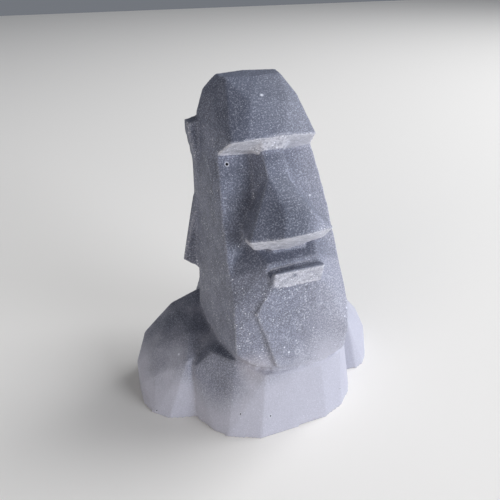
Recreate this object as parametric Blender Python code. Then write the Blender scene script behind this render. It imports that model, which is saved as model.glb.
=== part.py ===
"""A small cast-stone moai: a long faceted head on a lobed bust, one solid casting.

The face looks along -Y and +X is the figure's left. The origin is the middle of the foot.
Every carved corner is given in hundredths of the figure's height, so the carving keeps its
proportions. Each mass is the convex hull of its corners, and the masses are joined into one.
"""

import bmesh
import bpy

# Driving sizes, in metres
HEIGHT = 0.116
EAR_THICKNESS = 0.0056

# One hundredth of the height
UNIT = HEIGHT / 100

STONE_COLOUR = (0.22, 0.23, 0.28, 1.0)
STONE_ROUGHNESS = 0.62


def clear_scene():
    for old in list(bpy.data.objects):
        bpy.data.objects.remove(old)


def new_collection(name):
    collection = bpy.data.collections.new(name)
    bpy.context.scene.collection.children.link(collection)
    return collection


def cast_stone():
    material = bpy.data.materials.new("cast_stone")
    material.use_nodes = True
    shader = material.node_tree.nodes["Principled BSDF"]
    shader.inputs["Base Color"].default_value = STONE_COLOUR
    shader.inputs["Roughness"].default_value = STONE_ROUGHNESS
    shader.inputs["Metallic"].default_value = 0.0
    return material


def both(*corners):
    """The corners and their mirror images across the middle of the face."""
    return [(side * x, y, z) for x, y, z in corners for side in (-1, 1)]


def hull(name, corners, collection):
    """A closed solid: the convex hull of corners given in hundredths of the height."""
    shape = bmesh.new()
    for corner in corners:
        shape.verts.new([UNIT * value for value in corner])
    bmesh.ops.convex_hull(shape, input=shape.verts)
    inner = [vertex for vertex in shape.verts if not vertex.link_faces]
    bmesh.ops.delete(shape, geom=inner, context="VERTS")
    bmesh.ops.recalc_face_normals(shape, faces=shape.faces)
    mesh = bpy.data.meshes.new(name)
    shape.to_mesh(mesh)
    shape.free()
    body = bpy.data.objects.new(name, mesh)
    collection.objects.link(body)
    return body


def head_corners():
    """The long block from under the brow to the jaw, its front leaning forward."""
    face_edge = both(
        (12.8, 6.2, 88.5),
        (14.2, 1.9, 81.3),
        (15.1, -2.6, 73.9),
        (16.2, -7.1, 65.1),
        (16.8, -13.0, 53.4),
        (17.1, -17.5, 45.5),
    )
    right_edge = [(-17.4, -18.8, 39.0), (-17.1, -19.3, 30.1)]
    left_edge = [(17.7, -19.8, 39.9), (17.8, -21.4, 32.0)]
    jaw_line = [
        (-18.6, -5.5, 27.3),
        (-14.0, -19.9, 26.9),
        (-11.0, -20.8, 25.1),
        (-5.5, -21.6, 23.1),
        (6.4, -21.6, 20.9),
        (13.8, -21.5, 22.9),
        (17.2, -21.2, 24.6),
        (18.8, -5.5, 24.0),
    ]
    sides = both(
        (15.0, 16.0, 88.5),
        (16.4, 15.3, 70.5),
        (17.1, 15.2, 55.0),
        (18.3, 12.0, 42.0),
        (19.3, 10.0, 30.0),
        (19.1, 2.5, 27.6),
    )
    back = both((12.0, 24.0, 86.0), (14.5, 25.0, 30.0), (15.0, 20.0, 18.0), (14.0, -8.0, 18.0))
    return face_edge + right_edge + left_edge + jaw_line + sides + back


def cranium_corners():
    """The crown and the sloping forehead, down to the brow that overhangs the eyes."""
    cap = both((8.2, 11.8, 100.0), (9.1, 17.5, 100.0)) + [(0.6, 11.0, 100.0), (0.0, 19.8, 100.0)]
    temples = both((12.8, 18.0, 96.4)) + [(10.7, 5.5, 95.3)]
    forehead = [(-4.5, 2.2, 95.4), (6.5, 1.8, 94.6)]
    brow = [
        (-12.3, -4.3, 86.7),
        (-8.0, -5.5, 87.4),
        (2.2, -5.3, 88.2),
        (12.3, -4.3, 86.7),
    ]
    brow_tips = both((14.3, 2.6, 81.5), (4.0, 2.6, 80.8))
    sides = both((15.3, 17.0, 90.0), (15.2, 15.0, 82.0), (12.0, 24.0, 88.0), (12.5, 24.0, 80.0))
    return cap + temples + forehead + brow + brow_tips + sides


def bridge_corners():
    """The narrow upper nose, from the brow down into the nostrils."""
    ridge = both((3.1, -3.1, 82.9)) + [(-3.3, -7.4, 78.0), (3.2, -8.0, 76.3), (-3.4, -8.0, 72.0)]
    roots = both((4.2, 3.0, 83.4), (6.9, -3.6, 69.0), (5.0, 4.0, 68.0))
    return ridge + roots


def brow_root_corners():
    """The steep wedge under the middle of the brow, which the bridge runs up into."""
    front = both((3.2, -3.0, 82.8), (3.5, -5.0, 87.2))
    return front + both((6.5, 1.0, 82.3), (6.5, 3.0, 88.0))


def nose_corners():
    """The lower nose, flaring from the waist to the wings."""
    waist = [(-3.3, -7.5, 77.9), (-2.3, -11.5, 75.4), (3.2, -8.1, 76.2)]
    tip = [(-2.2, -17.5, 71.1), (5.2, -17.5, 71.1), (-4.0, -21.6, 66.3), (1.9, -21.6, 66.4)]
    wings = both((12.3, -17.5, 64.6), (10.3, -6.4, 64.0), (10.4, -15.7, 61.0))
    inside = both((2.0, -3.0, 75.0), (10.0, -6.0, 60.0))
    return waist + tip + wings + inside + [(0.0, -15.5, 59.6)]


def muzzle_corners():
    """The bulge round the mouth, from the groove under the nose out to the cheeks."""
    lip_edge = [(-7.3, -18.4, 57.8), (7.2, -18.3, 57.7), (-7.8, -19.0, 56.7), (7.8, -19.0, 56.4)]
    cheeks = both((13.8, -11.9, 56.6), (16.8, -13.6, 52.6), (17.2, -17.9, 45.2))
    right_cheek = [(-17.5, -19.1, 39.0), (-17.2, -19.5, 30.1)]
    left_cheek = [(17.8, -20.1, 39.7), (17.9, -21.6, 32.0)]
    right_of_chin = [(-7.4, -20.9, 51.8), (-11.6, -21.0, 44.1)]
    left_of_chin = [(7.1, -20.9, 52.3), (6.8, -21.6, 44.9), (7.0, -21.8, 37.9), (6.5, -21.9, 21.6)]
    jaw = [(-14.1, -20.1, 26.9), (-11.1, -21.0, 25.1), (13.8, -21.7, 23.0), (17.2, -21.4, 24.7)]
    inside = both((9.0, -10.0, 61.0), (9.0, -5.0, 50.0), (9.0, -12.0, 34.0))
    sides = cheeks + right_cheek + left_cheek
    return lip_edge + sides + right_of_chin + left_of_chin + jaw + inside


def lower_lip_corners():
    """The shelf of the lower lip: square at its right end, running out into the left cheek."""
    front = [(-7.2, -22.6, 57.2), (7.7, -22.6, 57.1), (-7.4, -21.2, 51.4), (7.4, -21.3, 51.2)]
    back = [(-7.2, -19.3, 55.6), (8.2, -19.3, 56.0), (-7.5, -18.0, 53.0), (9.2, -18.0, 53.0)]
    return front + back + both((6.0, -12.0, 50.0))


def mouth_slit_corners():
    """The groove between the lips: its roof runs in and down behind the lower lip."""
    right_end = [(-7.8, -20.1, 58.4), (-8.1, -20.4, 54.8), (-7.6, -17.8, 54.3)]
    left_end = [(8.1, -20.0, 58.0), (8.3, -20.0, 56.2), (7.2, -18.2, 55.5)]
    return right_end + left_end


def chin_valley():
    """The shallow valley down the front of the boss on the jaw, where its halves meet."""
    front = [(-2.4, -20.9, 52.2), (-0.4, -21.4, 41.3), (2.2, -21.7, 32.4), (4.8, -21.95, 22.0)]
    return front + [(0.0, -15.0, 50.0), (3.0, -15.0, 26.0)]


def chin_right_corners():
    """The right half of the flat boss on the jaw, standing proud of the cheek."""
    edge = [(-7.0, -21.1, 52.4), (-12.0, -21.8, 44.6), (-9.4, -22.4, 37.7), (-5.9, -22.8, 24.5)]
    root = [(-6.5, -15.0, 54.0), (-12.6, -17.0, 44.4), (-9.4, -17.0, 37.0), (-6.0, -17.0, 24.6)]
    return edge + root + chin_valley()


def chin_left_corners():
    """The left half of the boss, which ends flush with the cheek."""
    edge = [(7.0, -21.0, 52.4), (6.7, -21.65, 44.9), (6.9, -21.85, 37.9), (6.3, -22.0, 21.2)]
    root = [(6.5, -15.0, 52.0), (6.5, -15.0, 26.0)]
    return edge + root + chin_valley()


def ear_corners(side, profile, front, back):
    """One stretch of an ear, as (outer x at the front, the same at the back, height)."""
    front_face = [(side * x, front, z) for x, _, z in profile]
    back_face = [(side * x, back, z) for _, x, z in profile]
    return front_face + back_face


def shoulder_corners(side, foot):
    """One rounded arm lobe of the bust, standing on its part of the foot outline."""
    upper = [
        (37.4, 1.0, 12.0),
        (28.4, -5.0, 19.2),
        (35.2, 6.8, 18.0),
        (25.7, 2.0, 24.7),
        (41.9, 11.0, 10.5),
        (41.6, 4.0, 7.0),
        (37.2, 19.0, 16.0),
        (27.3, 19.0, 25.5),
        (17.6, 19.0, 29.0),
        (26.0, 24.0, 17.0),
        (12.0, 25.0, 24.0),
        (12.0, 0.0, 24.0),
    ]
    corners = [(x, y, 0.0) for x, y in foot] + upper + [(10.0, 0.0, 0.0)]
    return [(side * x, y, z) for x, y, z in corners]


def chest_corners():
    """The front lobe of the bust, under the chin."""
    foot = [
        (-27.6, -10.6),
        (-24.2, -17.2),
        (-20.7, -21.1),
        (-11.5, -25.3),
        (-0.2, -25.2),
        (11.2, -24.6),
        (18.2, -22.1),
        (23.2, -17.6),
        (24.9, -15.0),
        (27.4, -9.5),
    ]
    upper = [
        (-26.5, -6.5, 18.0),
        (-21.5, -9.0, 24.5),
        (-16.5, -15.8, 25.0),
        (-9.0, -22.0, 22.0),
        (0.0, -22.7, 21.5),
        (9.0, -22.4, 21.0),
        (17.0, -19.5, 21.5),
        (22.5, -12.5, 20.0),
    ]
    inside = both((17.0, -4.0, 26.0), (20.0, 10.0, 20.0))
    return [(x, y, 0.0) for x, y in foot] + upper + inside + both((20.0, 10.0, 0.0))


def back_corners():
    """The plain panel that closes the bust between the arms, a little behind their faces."""
    panel = both((24.0, 24.4, 0.0), (18.0, 24.3, 22.0), (14.2, 24.3, 34.0))
    root = both((20.0, 8.0, 0.0), (17.0, 8.0, 26.0), (14.2, 12.0, 36.0))
    return panel + root


def combine(body, operation, mass):
    """Joins a mass to the body or cuts it out, and keeps it out of the render."""
    mass.hide_render = True
    mass.display_type = "WIRE"
    boolean = body.modifiers.new(mass.name, "BOOLEAN")
    boolean.operation = operation
    boolean.solver = "EXACT"
    boolean.object = mass


def make_moai():
    figure = new_collection("moai_figure")
    masses = new_collection("joined_and_cut_masses")
    moai = hull("moai", head_corners(), figure)
    moai.data.materials.append(cast_stone())
    ear_front = 14.5
    ear_back = ear_front + EAR_THICKNESS / UNIT
    right_foot = [
        (27.4, -9.8),
        (31.8, -8.7),
        (36.0, -7.3),
        (40.4, -3.4),
        (42.4, 1.8),
        (42.2, 11.0),
        (40.0, 19.5),
        (34.0, 24.0),
        (20.0, 25.3),
    ]
    left_foot = [
        (26.0, -7.6),
        (31.8, -8.7),
        (35.4, -7.3),
        (38.6, -3.6),
        (40.8, 1.4),
        (42.4, 12.0),
        (40.0, 19.5),
        (34.0, 24.0),
        (20.0, 25.3),
    ]
    joined = {
        "cranium": cranium_corners(),
        "brow_root": brow_root_corners(),
        "bridge": bridge_corners(),
        "nose": nose_corners(),
        "muzzle": muzzle_corners(),
        "lower_lip": lower_lip_corners(),
        "chin_right": chin_right_corners(),
        "chin_left": chin_left_corners(),
        "right_shoulder": shoulder_corners(-1, right_foot),
        "left_shoulder": shoulder_corners(1, left_foot),
        "chest": chest_corners(),
        "back": back_corners(),
    }
    ear_stretches = {
        "upper": [(13.0, 13.0, 89.0), (18.4, 18.4, 87.7), (18.6, 18.4, 84.8), (16.4, 16.4, 73.3)],
        "middle": [(12.0, 12.0, 80.0), (16.6, 16.6, 74.5), (16.3, 16.3, 69.0), (16.8, 16.8, 63.5)],
        "lower": [(16.8, 16.8, 65.0), (18.9, 18.5, 52.5), (22.8, 21.0, 44.0), (17.6, 17.6, 39.9)],
    }
    ear_roots = {"upper": (70.0, 86.0), "middle": (60.0, 78.0), "lower": (40.5, 68.0)}
    for side, word in ((-1, "right"), (1, "left")):
        for stretch, profile in ear_stretches.items():
            root = [(12.0, 12.0, z) for z in ear_roots[stretch]]
            corners = ear_corners(side, profile + root, ear_front, ear_back)
            joined[f"{word}_ear_{stretch}"] = corners
    for name, corners in joined.items():
        combine(moai, "UNION", hull(name, corners, masses))
    combine(moai, "DIFFERENCE", hull("mouth_slit", mouth_slit_corners(), masses))
    return moai


clear_scene()
make_moai()
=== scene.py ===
import math
import random

import bmesh
import bpy
from mathutils import Matrix, Vector, noise
from mathutils.bvhtree import BVHTree


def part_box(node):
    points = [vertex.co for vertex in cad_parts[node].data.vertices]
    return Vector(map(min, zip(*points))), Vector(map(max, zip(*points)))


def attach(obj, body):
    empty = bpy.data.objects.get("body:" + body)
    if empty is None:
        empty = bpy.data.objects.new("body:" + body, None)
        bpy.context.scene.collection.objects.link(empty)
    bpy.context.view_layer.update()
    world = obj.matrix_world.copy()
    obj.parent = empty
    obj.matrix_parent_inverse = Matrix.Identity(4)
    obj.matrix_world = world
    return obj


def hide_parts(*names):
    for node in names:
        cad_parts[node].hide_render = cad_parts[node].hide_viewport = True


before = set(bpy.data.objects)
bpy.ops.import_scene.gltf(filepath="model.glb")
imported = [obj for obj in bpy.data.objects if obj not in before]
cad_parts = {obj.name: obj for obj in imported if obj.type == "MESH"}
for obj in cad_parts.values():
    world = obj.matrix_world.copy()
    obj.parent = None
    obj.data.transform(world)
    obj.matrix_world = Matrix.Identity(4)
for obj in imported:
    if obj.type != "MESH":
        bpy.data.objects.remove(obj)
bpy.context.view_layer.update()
millimetre = 0.001

# Camera: above the figure's right shoulder, looking down at the face
cameraSetup = {
    "eye": (-61.95, -146.28, 150.55),  # mm
    "aim": (-3.68, 6.96, 55.90),  # mm
    "roll": -0.20,  # degrees
    "lens": 37.44,  # mm
    "sensor": 36,  # mm
    "nearest": 5,  # mm, where the view starts
}


def placeCamera(setup):
    data = bpy.data.cameras.new("studioCamera")
    data.lens = setup["lens"]
    data.sensor_width = setup["sensor"]
    data.clip_start = setup["nearest"] * millimetre
    camera = bpy.data.objects.new("studioCamera", data)
    eye = Vector(setup["eye"]) * millimetre
    aim = Vector(setup["aim"]) * millimetre
    turn = (eye - aim).to_track_quat("Z", "Y").to_matrix().to_4x4()
    roll = Matrix.Rotation(math.radians(setup["roll"]), 4, "Z")
    camera.matrix_world = Matrix.Translation(eye) @ turn @ roll
    bpy.context.scene.collection.objects.link(camera)
    bpy.context.scene.camera = camera


placeCamera(cameraSetup)
print("camera placed")


def linearColour(hexCode):
    channels = [int(hexCode[i:i + 2], 16) / 255 for i in (1, 3, 5)]
    linear = [c / 12.92 if c <= 0.04045 else ((c + 0.055) / 1.055) ** 2.4 for c in channels]
    return (*linear, 1.0)


# Adds a node. A setting is a property or a socket's value, and a link is what feeds a socket.
def addNode(tree, kind, settings=None, links=None):
    node = tree.nodes.new(kind)
    for name, value in (settings or {}).items():
        if isinstance(name, str) and hasattr(node, name):
            setattr(node, name, value)
        else:
            node.inputs[name].default_value = value
    for name, source in (links or {}).items():
        tree.links.new(source, node.inputs[name])
    return node


# Cast mineral stone: gypsum and stone flour, poured in two tones into a flexible mould and
# not polished. It gives the eye a satin-matt slate grey that fades to lilac-white at the
# foot, white mineral specks, and pale streaked dust under the overhangs of the face, made
# paler there with painted light reflected from below.
castStone = {
    "slate": "#7c8194",
    "slateDeep": "#5c6172",  # the darker clouds in it
    "paintedShadeSlate": "#4f5464",  # painted shade on facets that face up, and on the nose
    "pale": "#b4b4c0",
    # pale dust, also laid as painted light under the overhangs and on the sharp edges
    "dustAndPaintedLight": "#c6c6ce",
    # painted light on the shaded side low on the jaw
    "paintedJawLight": "#b8b0b4",
    "speck": "#eff1fa",
    # the grit's dark tone, and the painted shade inside the pinholes
    "darkGritAndHoleShade": "#131318",
    "ior": 1.52,
    "roughness": (0.54, 0.68),  # from the smooth places to the gritty ones
    "dustRoughness": 0.2,  # how much drier the dust is
    "mottle": (6.5, 1.6),  # mm, broad and fine clouds in the paste
    "fineMottle": 0.35,  # the share of the fine ones
    "pour": {
        "middle": 8.0,  # mm to the figure's left, where the pale pour stands highest
        "line": 31.5,  # mm, its height there
        "fall": 0.22,  # how fast it falls away to either side
        "blur": 9.0,  # mm, half the width of the fade
        "wander": (16.0, 5.0),  # mm across, and mm up and down
    },
    "headFade": (92.0, 26.0, 0.30),  # mm down from and to, and how pale the slate gets there
    "leftFade": (-1.0, 16.0, 0.6),  # the same, in mm to the figure's left, a painted light on the side that faces the lamps
    "paintedShadeFacing": (0.15, 0.95, 0.75),  # how far up a facet faces, from and to, and how strong the painted shade on it is
    "patches": {  # middle in mm, reach in mm along each axis, and how strong
        "paintedShade": ((-2.0, -22.0, 81.0), (13.0, 18.0, 14.0), 0.95),  # painted shade on the nose
        "paintedJawLight": ((-14.0, -24.0, 29.0), (9.0, 9.0, 9.0), 0.3),  # painted light on the shaded side, low on the jaw
        "pourAndPaintedLight": ((6.0, -24.0, 21.0), (28.0, 14.0, 11.0), 1.0),  # pale pour under the chin, made paler with painted light over the chin's shadow
        "slateRunAndPaintedShade": ((-27.0, -16.0, 21.0), (15.0, 16.0, 17.0), 0.9),  # slate beside it, with painted shade between the arm and the jaw
    },
    "patchCore": 0.25,  # the share of its reach over which a patch is at its strongest
    "grain": 0.45,  # mm, real grit is 0.1 mm, drawn coarser so that it shows
    "grainTones": (  # its tone, where in the noise it starts and ends, and how strong
        ("darkGritAndHoleShade", 0.60, 0.36, 0.34),
        ("speck", 0.52, 0.72, 0.22),
    ),
    "grainInPour": 0.3,  # how much of the grit and specks shows in the pale pour
    "dustAndBounceZone": {"Z": (50.0, 58.0), "Y": (15.0, 9.0)},  # mm, from the lip up, in front of the ears
    "dustAndBounceFacing": (0.06, -0.08),  # how far down a facet faces where the dust and the painted light reflected from below start, and are full
    "dustAndBounceRagged": 0.35,  # how ragged its edge is
    "frost": 0.7,  # mm, the crumbs of the dust on steep facets
    "frostDepth": (0.38, 0.56, 0.35),  # where in the noise, and the least dust
    "streaks": (2.4, 0.7, 0.7),  # mm along and across the marks in the dust on flat facets
    "streakDepth": (0.35, 0.62, 0.5),  # where in the noise, and the least dust
    "streakFacing": (-0.35, -0.55),  # from steep to flat
    "wearAndEdgeHighlight": 0.3,  # how pale the sharp edges are, with rubbed wear and a painted highlight
    "specks": (  # mm apart, mm radius, and mm that the pattern is shifted
        (0.46, 0.16, 0.0),
        (0.82, 0.22, 31.0),
        (1.8, 0.31, 67.0),
    ),
    "speckSizes": (0.1, 1.3),  # the share that gets none, and the largest in radii
    "speckBlur": (-0.02, 0.08),  # across its edge, in shares of the spacing
    "speckStrength": (0.12, 0.85),  # from the dimmest to the brightest
    "speckDimming": 3.0,  # a higher power leaves fewer bright ones
    "crowding": 5.0,  # mm, the size of the places where specks crowd together
    "crowdSpread": (0.55, 1.15),  # from sparse to crowded
    "crowdShares": {  # what makes them sparser, and then denser
        "slateRunAndPaintedShade": -0.4,
        "paintedShade": -0.8,
        "under": 0.45,
        "edges": 0.35,
        "paintedJawLight": 0.3,
        "lower": 0.2,
    },
    "relief": 0.06,  # mm of bump
    "reliefStrength": 0.6,
    "speckRelief": 0.6,  # against 1 for the grit
    "dustRelief": 1.5,
}

softStep = {"interpolation_type": "SMOOTHSTEP"}
noiseSpread = {"From Min": 0.3, "From Max": 0.7}  # most of a noise lies between these


# The slate, with broad and fine clouds of darker paste
def cloudySlate(tree, look, inMm):
    clouds = []
    for size in look["mottle"]:
        settings = {"Scale": 1 / size, "Detail": 4.0, "Roughness": 0.6}
        cloud = addNode(tree, "ShaderNodeTexNoise", settings, {"Vector": inMm}).outputs[0]
        ends = {**softStep, **noiseSpread}
        clouds.append(addNode(tree, "ShaderNodeMapRange", ends, {0: cloud}).outputs[0])
    fine = {0: look["fineMottle"]}
    mixed = addNode(tree, "ShaderNodeMix", fine, {2: clouds[0], 3: clouds[1]}).outputs[0]
    ends = {"data_type": "RGBA", 6: linearColour(look["slateDeep"]), 7: linearColour(look["slate"])}
    return addNode(tree, "ShaderNodeMix", ends, {0: mixed}).outputs[2]


# The height in the pour, which wanders and grows to either side, so that the pale stands
# highest in the middle of the chest
def pourLevel(tree, pour, inMm, axes):
    size, swing = pour["wander"]
    settings = {"Scale": 1 / size, "Detail": 3.0}
    wander = addNode(tree, "ShaderNodeTexNoise", settings, {"Vector": inMm}).outputs[0]
    ends = {**noiseSpread, "To Min": -swing, "To Max": swing}
    wander = addNode(tree, "ShaderNodeMapRange", ends, {0: wander}).outputs[0]
    height = addNode(tree, "ShaderNodeMath", None, {0: axes["Z"], 1: wander}).outputs[0]
    settings = {"operation": "SUBTRACT", 1: pour["middle"]}
    sideways = addNode(tree, "ShaderNodeMath", settings, {0: axes["X"]}).outputs[0]
    sideways = addNode(tree, "ShaderNodeMath", {"operation": "ABSOLUTE"}, {0: sideways}).outputs[0]
    settings = {"operation": "MULTIPLY_ADD", 1: pour["fall"]}
    return addNode(tree, "ShaderNodeMath", settings, {0: sideways, 2: height}).outputs[0]


# Soft oval patches, each as a share from 0 to its own strength
def softPatches(tree, look, inMm):
    shares = {}
    for name, (centre, reach, most) in look["patches"].items():
        squeeze = [1 / size for size in reach]
        shift = [-c * s for c, s in zip(centre, squeeze)]
        settings = {"operation": "MULTIPLY_ADD", 1: squeeze, 2: shift}
        away = addNode(tree, "ShaderNodeVectorMath", settings, {0: inMm}).outputs[0]
        away = addNode(tree, "ShaderNodeVectorMath", {"operation": "LENGTH"}, {0: away}).outputs["Value"]
        ends = {**softStep, "From Min": 1.0, "From Max": look["patchCore"], "To Max": most}
        shares[name] = addNode(tree, "ShaderNodeMapRange", ends, {0: away}).outputs[0]
    return shares


# Where a facet lies under an overhang, and how much pale dust is on it: frosted on the steep
# facets and streaked on the flat ones. The pale on facets that face down is partly painted
# light reflected from below.
def dustAndBounceShares(tree, look, inMm, axes, facing):
    settings = {"Scale": 1 / look["frost"], "Detail": 2.0}
    frost = addNode(tree, "ShaderNodeTexNoise", settings, {"Vector": inMm}).outputs[0]
    settings = {"operation": "MULTIPLY_ADD", 1: look["dustAndBounceRagged"]}
    ragged = addNode(tree, "ShaderNodeMath", settings, {0: frost, 2: facing}).outputs[0]
    start, end = look["dustAndBounceFacing"]
    ends = {**softStep, "From Min": start, "From Max": end}
    under = addNode(tree, "ShaderNodeMapRange", ends, {0: ragged}).outputs[0]
    multiply = {"operation": "MULTIPLY"}
    for axis, (start, end) in look["dustAndBounceZone"].items():
        ends = {"From Min": start, "From Max": end}
        within = addNode(tree, "ShaderNodeMapRange", ends, {0: axes[axis]}).outputs[0]
        under = addNode(tree, "ShaderNodeMath", multiply, {0: under, 1: within}).outputs[0]
    stretch = {"operation": "MULTIPLY", 1: [1 / size for size in look["streaks"]]}
    along = addNode(tree, "ShaderNodeVectorMath", stretch, {0: inMm}).outputs[0]
    settings = {"Scale": 1.0, "Detail": 3.0, "Roughness": 0.65}
    streak = addNode(tree, "ShaderNodeTexNoise", settings, {"Vector": along}).outputs[0]
    patterns = []
    for source, (start, end, least) in ((frost, look["frostDepth"]), (streak, look["streakDepth"])):
        ends = {**softStep, "From Min": start, "From Max": end, "To Min": least}
        patterns.append(addNode(tree, "ShaderNodeMapRange", ends, {0: source}).outputs[0])
    start, end = look["streakFacing"]
    ends = {**softStep, "From Min": start, "From Max": end}
    flat = addNode(tree, "ShaderNodeMapRange", ends, {0: facing}).outputs[0]
    pattern = addNode(tree, "ShaderNodeMix", None, {0: flat, 2: patterns[0], 3: patterns[1]}).outputs[0]
    return under, addNode(tree, "ShaderNodeMath", multiply, {0: under, 1: pattern}).outputs[0]


# White specks: uneven in size, crowded in places, under the overhangs and on the edges, and
# sparse where the slate is darkened with painted shade
def whiteSpecks(tree, look, inMm, sources):
    settings = {"Scale": 1 / look["crowding"], "Detail": 2.0}
    crowd = addNode(tree, "ShaderNodeTexNoise", settings, {"Vector": inMm}).outputs[0]
    least, most = look["crowdSpread"]
    ends = {"From Min": 0.32, "From Max": 0.68, "To Min": least, "To Max": most}
    crowd = addNode(tree, "ShaderNodeMapRange", ends, {0: crowd}).outputs[0]
    for name, share in look["crowdShares"].items():
        settings = {"operation": "MULTIPLY_ADD", 1: share}
        crowd = addNode(tree, "ShaderNodeMath", settings, {0: sources[name], 2: crowd}).outputs[0]
    multiply = {"operation": "MULTIPLY"}
    none, largest = look["speckSizes"]
    inner, outer = look["speckBlur"]
    dimmest, brightest = look["speckStrength"]
    specks = None
    for apart, radius, shift in look["specks"]:
        settings = {"operation": "ADD", 1: (shift, shift, shift)}
        moved = addNode(tree, "ShaderNodeVectorMath", settings, {0: inMm}).outputs[0]
        cells = addNode(tree, "ShaderNodeTexVoronoi", {"Scale": 1 / apart}, {"Vector": moved}).outputs
        lot = addNode(tree, "ShaderNodeSeparateColor", None, {0: cells["Color"]}).outputs
        ends = {"From Min": none, "To Max": largest * radius / apart}
        reach = addNode(tree, "ShaderNodeMapRange", ends, {0: lot[0]}).outputs[0]
        reach = addNode(tree, "ShaderNodeMath", multiply, {0: reach, 1: crowd}).outputs[0]
        settings = {"operation": "SUBTRACT"}
        inside = addNode(tree, "ShaderNodeMath", settings, {0: reach, 1: cells["Distance"]}).outputs[0]
        ends = {**softStep, "From Min": inner, "From Max": outer}
        dot = addNode(tree, "ShaderNodeMapRange", ends, {0: inside}).outputs[0]
        settings = {"operation": "POWER", 1: look["speckDimming"]}
        dim = addNode(tree, "ShaderNodeMath", settings, {0: lot[1]}).outputs[0]
        ends = {"To Min": dimmest, "To Max": brightest}
        strength = addNode(tree, "ShaderNodeMapRange", ends, {0: dim}).outputs[0]
        dot = addNode(tree, "ShaderNodeMath", multiply, {0: dot, 1: strength}).outputs[0]
        if specks is not None:
            settings = {"operation": "MAXIMUM"}
            dot = addNode(tree, "ShaderNodeMath", settings, {0: dot, 1: specks}).outputs[0]
        specks = dot
    return specks


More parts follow.
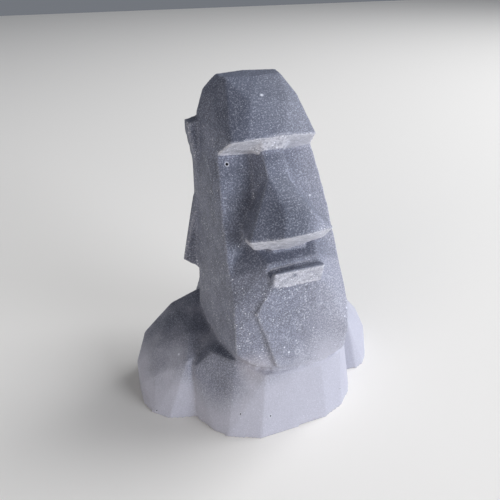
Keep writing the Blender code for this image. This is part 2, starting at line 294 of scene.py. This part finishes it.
def makeCastStone(look):
    material = bpy.data.materials.new("castMineralStone")
    material.use_nodes = True
    tree = material.node_tree
    shader = tree.nodes["Principled BSDF"]
    shader.inputs["IOR"].default_value = look["ior"]
    shader.inputs["Metallic"].default_value = 0.0
    multiply = {"operation": "MULTIPLY"}

    place = addNode(tree, "ShaderNodeTexCoord").outputs["Object"]
    toMm = {"operation": "SCALE", "Scale": 1 / millimetre}
    inMm = addNode(tree, "ShaderNodeVectorMath", toMm, {0: place}).outputs[0]
    axes = addNode(tree, "ShaderNodeSeparateXYZ", None, {0: inMm}).outputs
    normal = addNode(tree, "ShaderNodeNewGeometry").outputs["Normal"]
    facing = addNode(tree, "ShaderNodeSeparateXYZ", None, {0: normal}).outputs["Z"]

    # what addMarks painted: white rims and flecks, painted shade in the pinholes, and how sharp an edge is
    painted = addNode(tree, "ShaderNodeAttribute", {"attribute_name": "marks"}).outputs["Color"]
    white, pinholeShade, edges = addNode(tree, "ShaderNodeSeparateColor", None, {0: painted}).outputs[:3]
    # sharp edges are paler: rubbed wear, and a painted highlight
    wearAndHighlightScale = {"operation": "MULTIPLY", 1: look["wearAndEdgeHighlight"]}
    wearAndEdgeHighlight = addNode(tree, "ShaderNodeMath", wearAndHighlightScale, {0: edges}).outputs[0]

    # the pale pour, which rose under the chin and gave way to slate beside it; the patch under
    # the chin adds painted light over the chin's shadow, and the slate beside it adds painted
    # shade between the arm and the jaw
    patches = softPatches(tree, look, inMm)
    pour = look["pour"]
    level = pourLevel(tree, pour, inMm, axes)
    ends = {"From Min": pour["line"] + pour["blur"], "From Max": pour["line"] - pour["blur"]}
    pourWithPaintedLightAndShade = addNode(tree, "ShaderNodeMapRange", {**softStep, **ends}, {0: level}).outputs[0]
    settings = {"operation": "MAXIMUM"}
    pourWithPaintedLightAndShade = addNode(tree, "ShaderNodeMath", settings, {0: pourWithPaintedLightAndShade, 1: patches["pourAndPaintedLight"]}).outputs[0]
    settings = {"operation": "SUBTRACT", "use_clamp": True}
    pourWithPaintedLightAndShade = addNode(tree, "ShaderNodeMath", settings, {0: pourWithPaintedLightAndShade, 1: patches["slateRunAndPaintedShade"]}).outputs[0]

    # the slate gets paler down the head, and paler towards the figure's left, which is painted
    # light on the side that faces the lamps
    fades = []
    for source, (start, end, most) in ((level, look["headFade"]), (axes["X"], look["leftFade"])):
        ends = {"From Min": start, "From Max": end, "To Max": most}
        fades.append(addNode(tree, "ShaderNodeMapRange", ends, {0: source}).outputs[0])
    lower, paintedLitSide = fades

    # painted shade: slate facets that face up are darker, and so is the nose
    start, end, most = look["paintedShadeFacing"]
    ends = {**softStep, "From Min": start, "From Max": end, "To Max": most}
    paintedShadeShare = addNode(tree, "ShaderNodeMapRange", ends, {0: facing}).outputs[0]
    settings = {"operation": "MAXIMUM"}
    paintedShadeShare = addNode(tree, "ShaderNodeMath", settings, {0: paintedShadeShare, 1: patches["paintedShade"]}).outputs[0]

    # the grit itself, pale on its grains and dark in its hollows, and weaker in the pale pour
    settings = {"Scale": 1 / look["grain"], "Detail": 2.0}
    grain = addNode(tree, "ShaderNodeTexNoise", settings, {"Vector": inMm}).outputs[0]
    ends = {"To Min": 1.0, "To Max": look["grainInPour"]}
    seen = addNode(tree, "ShaderNodeMapRange", ends, {0: pourWithPaintedLightAndShade}).outputs[0]
    grit = []
    for tone, start, end, most in look["grainTones"]:
        ends = {"From Min": start, "From Max": end, "To Max": most}
        part = addNode(tree, "ShaderNodeMapRange", ends, {0: grain}).outputs[0]
        part = addNode(tree, "ShaderNodeMath", multiply, {0: part, 1: seen}).outputs[0]
        grit.append((tone, part))

    # pale dust under the overhangs, partly painted light reflected from below
    under, dustAndBounce = dustAndBounceShares(tree, look, inMm, axes, facing)
    sources = {**patches, "paintedShade": paintedShadeShare, "under": under, "edges": edges, "lower": lower}
    specks = whiteSpecks(tree, look, inMm, sources)
    specks = addNode(tree, "ShaderNodeMath", multiply, {0: specks, 1: seen}).outputs[0]

    # each tone is laid over the ones before it. Painted light among them: paler to the figure's
    # left, low on the jaw, under the chin, on the sharp edges, and partly the dust under the
    # overhangs. Painted shade: darker slate on up-facing facets, on the nose, beside the chin and
    # in the pinholes
    colour = cloudySlate(tree, look, inMm)
    layers = [("pale", lower), ("pale", paintedLitSide), ("paintedShadeSlate", paintedShadeShare), ("pale", pourWithPaintedLightAndShade)]
    layers += grit
    layers += [("dustAndPaintedLight", dustAndBounce), ("paintedJawLight", patches["paintedJawLight"]), ("dustAndPaintedLight", wearAndEdgeHighlight)]
    layers += [("speck", specks), ("speck", white), ("darkGritAndHoleShade", pinholeShade)]
    for tone, share in layers:
        settings = {"data_type": "RGBA", 7: linearColour(look[tone])}
        colour = addNode(tree, "ShaderNodeMix", settings, {0: share, 6: colour}).outputs[2]
    tree.links.new(colour, shader.inputs["Base Color"])

    # satin where the mould was smooth, drier where it is gritty or dusty
    smooth, gritty = look["roughness"]
    ends = {"From Min": 0.2, "From Max": 0.8, "To Min": smooth, "To Max": gritty}
    rough = addNode(tree, "ShaderNodeMapRange", ends, {0: grain}).outputs[0]
    drier = {"operation": "MULTIPLY_ADD", 1: look["dustRoughness"]}
    rough = addNode(tree, "ShaderNodeMath", drier, {0: dustAndBounce, 2: rough}).outputs[0]
    tree.links.new(rough, shader.inputs["Roughness"])

    # fine relief of the grit, with the specks and the dust standing on it
    bumps = grain
    for share, source in ((look["speckRelief"], specks), (look["dustRelief"], dustAndBounce)):
        settings = {"operation": "MULTIPLY_ADD", 1: share}
        bumps = addNode(tree, "ShaderNodeMath", settings, {0: source, 2: bumps}).outputs[0]
    settings = {"Strength": look["reliefStrength"], "Distance": look["relief"] * millimetre}
    bump = addNode(tree, "ShaderNodeBump", settings, {"Height": bumps}).outputs["Normal"]
    tree.links.new(bump, shader.inputs["Normal"])
    return material


stone = makeCastStone(castStone)
print("stone material made")

# The casting: the solid's own form with softened edges and fine relief
casting = {
    "voxel": 0.62,  # mm
    "smoothing": (0.5, 1),  # how strong, and passes
    "waves": ((11.0, 0.10), (2.6, 0.04)),  # mm across, mm deep
    "underRelief": (1.6, 0.16),  # mm across, mm deep, on facets that face down
    "underFacing": -0.1,  # how far down such a facet faces
    "footRim": 0.8,  # mm above the floor that stay true
    "sharpEdge": (0.05, 0.25),  # how far the surface falls away, from hardly to fully sharp
    "seed": 7,
    "hiddenPinholes": 9,
    "hiddenMargin": 0.1,  # radians kept clear of straight left and right
    "hiddenHeights": (0.1, 0.95),  # shares of the figure's height
    "hiddenRadius": (0.2, 0.33),  # mm
    "hiddenDepth": 0.45,  # mm
}

# Each mark: place in mm, radius in mm, depth in mm, and what it is
pourMarks = [
    ((-13.6, 1.0, 92.3), 0.44, 0.8, "pinhole"),  # by the right eye
    ((-21.4, 18.4, 101.1), 0.42, 0.8, "pinhole"),  # at the top of the right ear
    ((-9.6, -28.3, 8.7), 0.30, 0.5, "pinhole"),  # low on the chest
    ((-20.0, -25.1, 9.9), 0.25, 0.4, "pinhole"),
    ((-45.6, -4.4, 1.4), 0.25, 0.4, "pinhole"),  # at the foot of the right arm
    ((20.2, -24.9, 7.9), 0.25, 0.4, "pinhole"),  # low on the chest's left
    ((-0.4, 4.9, 111.7), 0.75, 0.0, "fleck"),  # on the forehead
    ((12.7, -5.8, 80.3), 0.55, 0.0, "fleck"),  # beside the nose
    ((-34.7, -1.0, 22.7), 0.60, 0.0, "fleck"),  # on the right arm
    ((1.1, -25.4, 32.6), 0.90, 0.0, "ring"),  # on the chin
]

# How the marks are drawn, in radii of each unless it says otherwise
markShapes = {
    "finerReach": (2.4, 1.7),  # where the faces are made finer, twice
    "finerMargin": 0.3,  # mm more each time
    "farthest": 2.2,
    "rims": {  # middle, half the width, and how white
        "pinhole": (1.45, 0.45, 0.75),
        "ring": (1.0, 0.3, 0.35),
        "fleck": (0.0, 1.0, 0.9),
    },
    "holeEdge": 1.2,
    "holeFall": 4,  # how sharply its painted shade ends
}


def castingMesh(source, setup):
    copy = source.copy()
    copy.data = source.data.copy()
    copy.name = "moaiCasting"
    bpy.context.scene.collection.objects.link(copy)
    remesh = copy.modifiers.new("evenFaces", "REMESH")
    remesh.mode = "VOXEL"
    remesh.voxel_size = setup["voxel"] * millimetre
    soften = copy.modifiers.new("softEdges", "SMOOTH")
    soften.factor, soften.iterations = setup["smoothing"]
    graph = bpy.context.evaluated_depsgraph_get()
    mesh = bpy.data.meshes.new_from_object(copy.evaluated_get(graph))
    copy.modifiers.clear()
    copy.data = mesh
    return copy


def addRelief(piece, setup):
    body = bmesh.new()
    body.from_mesh(piece.data)
    body.normal_update()
    for vertex in body.verts:
        vertex.co.z = max(vertex.co.z, 0.0)
        place = vertex.co / millimetre
        if place.z < setup["footRim"]:
            continue
        waves = list(setup["waves"])
        if vertex.normal.z < setup["underFacing"]:
            waves.append(setup["underRelief"])
        sink = sum(depth * (0.5 + 0.5 * noise.noise(place / size)) for size, depth in waves)
        vertex.co -= vertex.normal * sink * millimetre
    body.to_mesh(piece.data)
    body.free()


def hiddenPinholes(piece, setup):
    # a few more on the back and sides, found by looking in from outside
    random.seed(setup["seed"])
    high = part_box("moai")[1].z
    margin = setup["hiddenMargin"]
    found = []
    tree = BVHTree.FromObject(piece, bpy.context.evaluated_depsgraph_get())
    while len(found) < setup["hiddenPinholes"]:
        angle = random.uniform(margin, math.pi - margin)
        level = random.uniform(*setup["hiddenHeights"]) * high
        outside = Vector((high * math.cos(angle), high * math.sin(angle), level))
        point = tree.ray_cast(outside, Vector((0, 0, level)) - outside)[0]
        if point:
            radius = random.uniform(*setup["hiddenRadius"])
            found.append((point / millimetre, radius, setup["hiddenDepth"], "pinhole"))
    return found


def edgeSharpness(vertex, start, end):
    # 0 on a flat or hollow place, 1 on a sharp outer edge
    falls = []
    for edge in vertex.link_edges:
        away = edge.other_vert(vertex).co - vertex.co
        falls.append(-away.normalized().dot(vertex.normal))
    sharpness = (sum(falls) / len(falls) - start) / (end - start)
    return min(1.0, max(0.0, sharpness))


def makeFacesFiner(body, places, shapes):
    margin = shapes["finerMargin"] * millimetre
    for reach in shapes["finerReach"]:
        near = []
        for edge in body.edges:
            middle = (edge.verts[0].co + edge.verts[1].co) / 2
            if any((middle - point).length < radius * reach + margin for point, _, radius, _, _ in places):
                near.append(edge)
        bmesh.ops.subdivide_edges(body, edges=near, cuts=1, use_grid_fill=True)
    bmesh.ops.triangulate(body, faces=[face for face in body.faces if len(face.verts) > 4])


def addMarks(piece, marks, setup, shapes):
    tree = BVHTree.FromObject(piece, bpy.context.evaluated_depsgraph_get())
    body = bmesh.new()
    body.from_mesh(piece.data)
    body.normal_update()
    paint = body.verts.layers.float_color.new("marks")
    for vertex in body.verts:
        vertex[paint] = (0.0, 0.0, edgeSharpness(vertex, *setup["sharpEdge"]), 1.0)
    places = []
    for centre, radius, depth, kind in marks:
        point, normal = tree.find_nearest(Vector(centre) * millimetre)[:2]
        places.append((point, normal, radius * millimetre, depth * millimetre, kind))
    makeFacesFiner(body, places, shapes)
    for vertex in body.verts:
        white, pinholeShade, edge, _ = vertex[paint]
        for point, normal, radius, depth, kind in places:
            away = (vertex.co - point).length / radius
            if away > shapes["farthest"]:
                continue
            middle, width, most = shapes["rims"][kind]
            white = max(white, most * max(0.0, 1 - abs(away - middle) / width))
            if kind == "pinhole":
                # the dark inside a pinhole is painted shade
                pinholeShade = max(pinholeShade, min(1.0, max(0.0, shapes["holeEdge"] - away) * shapes["holeFall"]))
                if away < 1:
                    vertex.co -= normal * depth * math.sqrt(1 - away * away)
        vertex[paint] = (white, pinholeShade, edge, 1.0)
    body.to_mesh(piece.data)
    body.free()


moai = castingMesh(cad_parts["moai"], casting)
addRelief(moai, casting)
addMarks(moai, pourMarks + hiddenPinholes(moai, casting), casting, markShapes)
moai.data.materials.clear()
moai.data.materials.append(stone)
moai.data.shade_smooth()
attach(moai, "root")
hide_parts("moai")
print("casting made,", sum(len(face.vertices) - 2 for face in moai.data.polygons), "triangles")

# Studio: a pale floor, two large soft lights on the figure's left, one high and one low in
# front, a weaker and warmer one low on its right, and an even sky
studio = {
    "floor": "#efebe4",
    "floorRoughness": 0.9,
    "floorSize": 3,  # m
    "sky": "#dfe6f2",
    "skyStrength": 0.23,
    "aim": (0, 0, 0.05),  # m
    "lights": {  # place in m, size in m, watts, colour
        "windowLight": ((1.00, 0.04, 1.17), 0.90, 18.0, "#f6f9ff"),
        "frontLight": ((0.86, -1.18, 0.37), 0.90, 19.0, "#f2f6ff"),
        "fillLight": ((-1.20, -0.84, 0.31), 0.90, 6.5, "#fff6ec"),
    },
}


# Matt backdrop paper, uncoated: an even pale surface with hardly any gloss
def makeFloorPaper(hexCode, roughness):
    material = bpy.data.materials.new("mattBackdropPaper")
    material.use_nodes = True
    shader = material.node_tree.nodes["Principled BSDF"]
    shader.inputs["Base Color"].default_value = linearColour(hexCode)
    shader.inputs["Roughness"].default_value = roughness
    return material


def buildStudio(setup):
    bpy.ops.mesh.primitive_plane_add(size=setup["floorSize"])
    floor = bpy.context.object
    floor.name = "studioFloor"
    floor.data.materials.append(makeFloorPaper(setup["floor"], setup["floorRoughness"]))
    for name, (place, size, watts, colour) in setup["lights"].items():
        data = bpy.data.lights.new(name, "AREA")
        data.size = size
        data.energy = watts
        data.color = linearColour(colour)[:3]
        light = bpy.data.objects.new(name, data)
        light.location = place
        light.rotation_euler = (Vector(place) - Vector(setup["aim"])).to_track_quat("Z", "Y").to_euler()
        bpy.context.scene.collection.objects.link(light)
    world = bpy.data.worlds.new("studioSky")
    world.use_nodes = True
    background = world.node_tree.nodes["Background"]
    background.inputs["Color"].default_value = linearColour(setup["sky"])
    background.inputs["Strength"].default_value = setup["skyStrength"]
    bpy.context.scene.world = world
    bpy.context.scene.view_settings.view_transform = "Standard"


buildStudio(studio)
print("studio lit")
